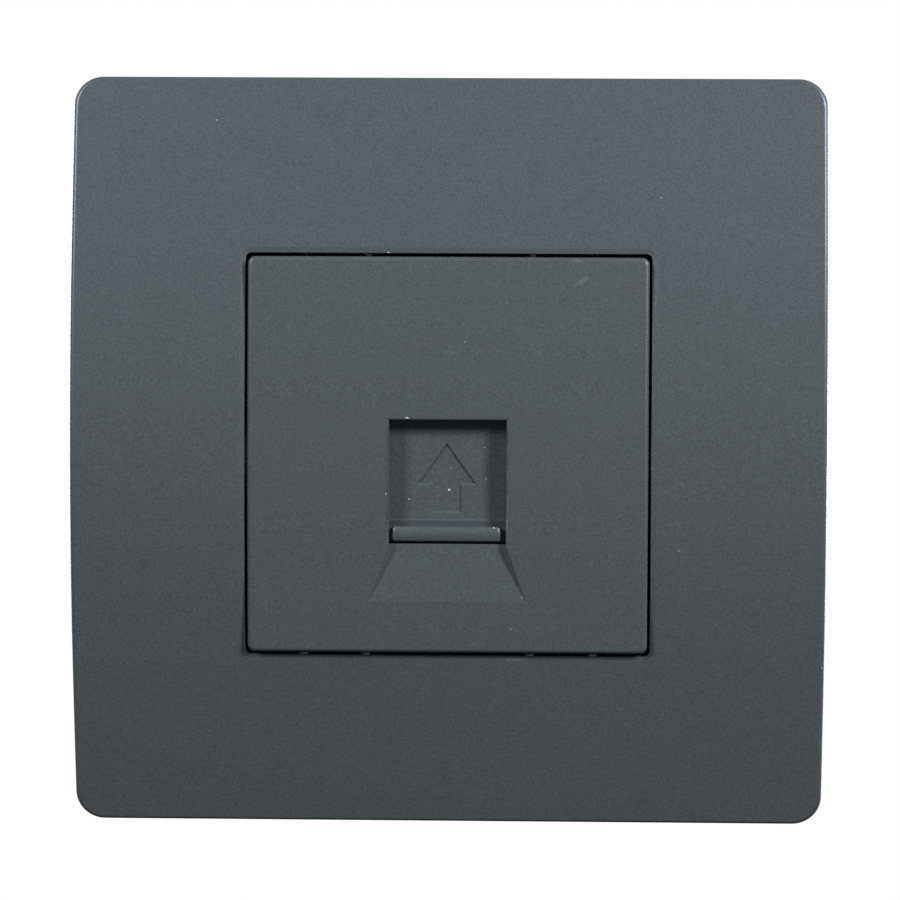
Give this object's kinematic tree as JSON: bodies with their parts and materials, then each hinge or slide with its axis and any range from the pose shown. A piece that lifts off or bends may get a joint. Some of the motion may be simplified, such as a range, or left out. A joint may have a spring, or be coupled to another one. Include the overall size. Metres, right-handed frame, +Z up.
{
  "type": "ethernet wall socket",
  "caption": "Square flush data wall socket with a crowned cover, snap-in insert, sprung dust shutter, jack, circuit board and punch-down blocks behind.",
  "frame": {"origin": "on the wall plane, midway between the two fixing slots", "axes": "+X to the right seen from the front, +Z up, +Y into the wall; the front faces -Y"},
  "size_m": [0.086, 0.0285, 0.0856],
  "materials": {
    "painted_cover": "soft matt paint",
    "frame_plastic": "moulded",
    "guide_plastic": "moulded, slippery",
    "jack_plastic": "moulded",
    "circuit_board": "solder resist on glass laminate",
    "block_plastic": "moulded",
    "gilt_bronze": "plated",
    "tinned_bronze": "plated",
    "spring_steel": "drawn wire",
    "zinc_steel": "zinc plated"
  },
  "bodies": {
    "socket": {"cover_plate": "painted_cover", "insert_face": "painted_cover", "mounting_frame": "frame_plastic", "shutter_guide": "guide_plastic", "shutter_spring_left": "spring_steel", "shutter_spring_right": "spring_steel", "jack_housing": "jack_plastic", "contact_carrier": "jack_plastic", "circuit_board": "circuit_board", "idc_block_left": "block_plastic", "idc_block_right": "block_plastic", "board_screws": "zinc_steel", "contact_1": "gilt_bronze", "contact_2": "gilt_bronze", "contact_3": "gilt_bronze", "contact_4": "gilt_bronze", "contact_5": "gilt_bronze", "contact_6": "gilt_bronze", "contact_7": "gilt_bronze", "contact_8": "gilt_bronze", "idc_blade_1": "tinned_bronze", "idc_blade_2": "tinned_bronze", "idc_blade_3": "tinned_bronze", "idc_blade_4": "tinned_bronze", "idc_blade_5": "tinned_bronze", "idc_blade_6": "tinned_bronze", "idc_blade_7": "tinned_bronze", "idc_blade_8": "tinned_bronze"},
    "shutter": {"dust_shutter": "painted_cover"}
  },
  "joints": [
    {"name": "shutter_slide", "type": "slide", "parent": "socket", "child": "shutter", "axis": [0, 0, 1], "range_m": [0, 0.0118], "stiffness_N_per_m": 40, "springref_m": -0.006, "deforming": ["shutter_spring_left", "shutter_spring_right"]}
  ]
}
